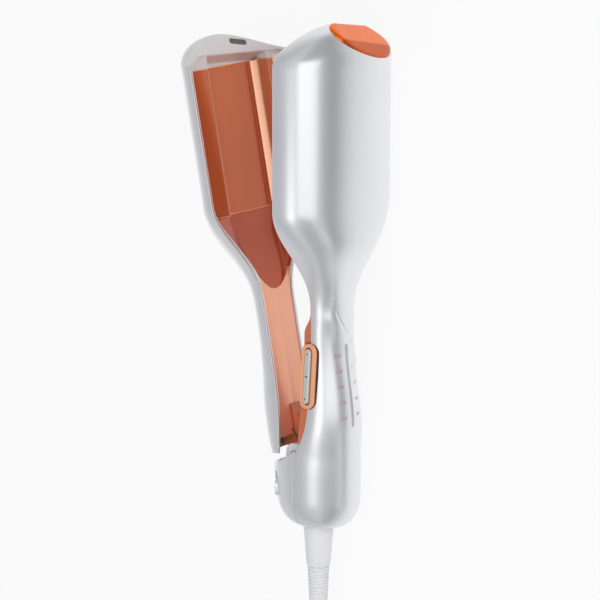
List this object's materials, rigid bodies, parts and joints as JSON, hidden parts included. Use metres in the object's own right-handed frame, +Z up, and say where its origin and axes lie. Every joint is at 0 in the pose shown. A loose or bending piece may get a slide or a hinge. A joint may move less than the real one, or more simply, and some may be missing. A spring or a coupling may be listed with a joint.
{
  "type": "hair waver",
  "caption": "Hair waver with a heated barrel and channel in two long sprung jaws, a rocker button, temperature scale, swivel cord and plug.",
  "frame": {"origin": "centre of the base of the bounding box without the cord, on the table", "axes": "+X along the waver towards the tips, +Z up from the table, +Y from the front jaw towards the arm"},
  "size_m": [0.5147, 0.1433, 0.0964],
  "materials": {
    "silver_shell": "satin",
    "orange_plastic": "gloss",
    "peach_plastic": "satin",
    "heating_plate": "satin ceramic coat",
    "ceramic": "matt",
    "insulator": "matt",
    "dark_plastic": "matt",
    "grey_plastic": "satin",
    "brass": "bright",
    "steel": "bright",
    "washer": "matt",
    "board": "satin",
    "light": "clear",
    "wire": "matt",
    "cord": "satin"
  },
  "bodies": {
    "body": {"front_shell": "silver_shell", "rear_shell": "silver_shell", "front_liner": "orange_plastic", "barrel_plate": "heating_plate", "barrel_heater": "ceramic", "barrel_insulator": "insulator", "barrel_thermistor": "dark_plastic", "barrel_fuse": "brass", "front_tip_cap": "grey_plastic", "tip_lens": "orange_plastic", "button_bezel": "orange_plastic", "rocker_pin": "steel", "button_switches": "dark_plastic", "control_board": "board", "power_parts": "dark_plastic", "light_strip": "light", "scale_lights": "light", "lead_wires": "wire", "hinge_bracket": "grey_plastic", "hinge_pin": "steel", "hinge_washers": "washer", "hinge_spring": "steel", "swivel_housing": "dark_plastic", "swivel_contacts": "brass", "case_screws": "steel", "cord_lead": "cord", "cord_coil": "cord", "cord_tail": "cord", "plug_body": "cord", "plug_pins": "brass"},
    "arm": {"arm_shell": "silver_shell", "arm_liner": "peach_plastic", "channel_plate": "heating_plate", "channel_heater": "ceramic", "channel_insulator": "insulator", "channel_thermistor": "dark_plastic", "arm_tip_cap": "grey_plastic", "hinge_knuckle": "orange_plastic", "arm_wires": "wire", "arm_screws": "steel"},
    "rocker": {"rocker_button": "grey_plastic"},
    "lock": {"lock_slider": "grey_plastic"},
    "boot": {"strain_relief": "cord"}
  },
  "joints": [
    {"name": "arm_hinge", "type": "hinge", "parent": "body", "child": "arm", "pos_m": [-0.07249, -0.02055, 0.02543], "axis": [0.1165, 0, -0.9932], "range_deg": [0, 12.2], "stiffness_Nm_per_rad": 0.6, "springref_deg": -8.59},
    {"name": "rocker_tilt", "type": "hinge", "parent": "body", "child": "rocker", "pos_m": [-0.02376, -0.03454, 0.04564], "axis": [0, 1, 0], "range_deg": [-3, 3], "stiffness_Nm_per_rad": 0.05},
    {"name": "lock_slide", "type": "slide", "parent": "body", "child": "lock", "axis": [0.9932, 0, 0.1165], "range_m": [0, 0.005]},
    {"name": "cord_swivel", "type": "hinge", "parent": "body", "child": "boot", "pos_m": [-0.11619, -0.02654, 0.02031], "axis": [0.9932, 0, 0.1165], "continuous": true}
  ]
}
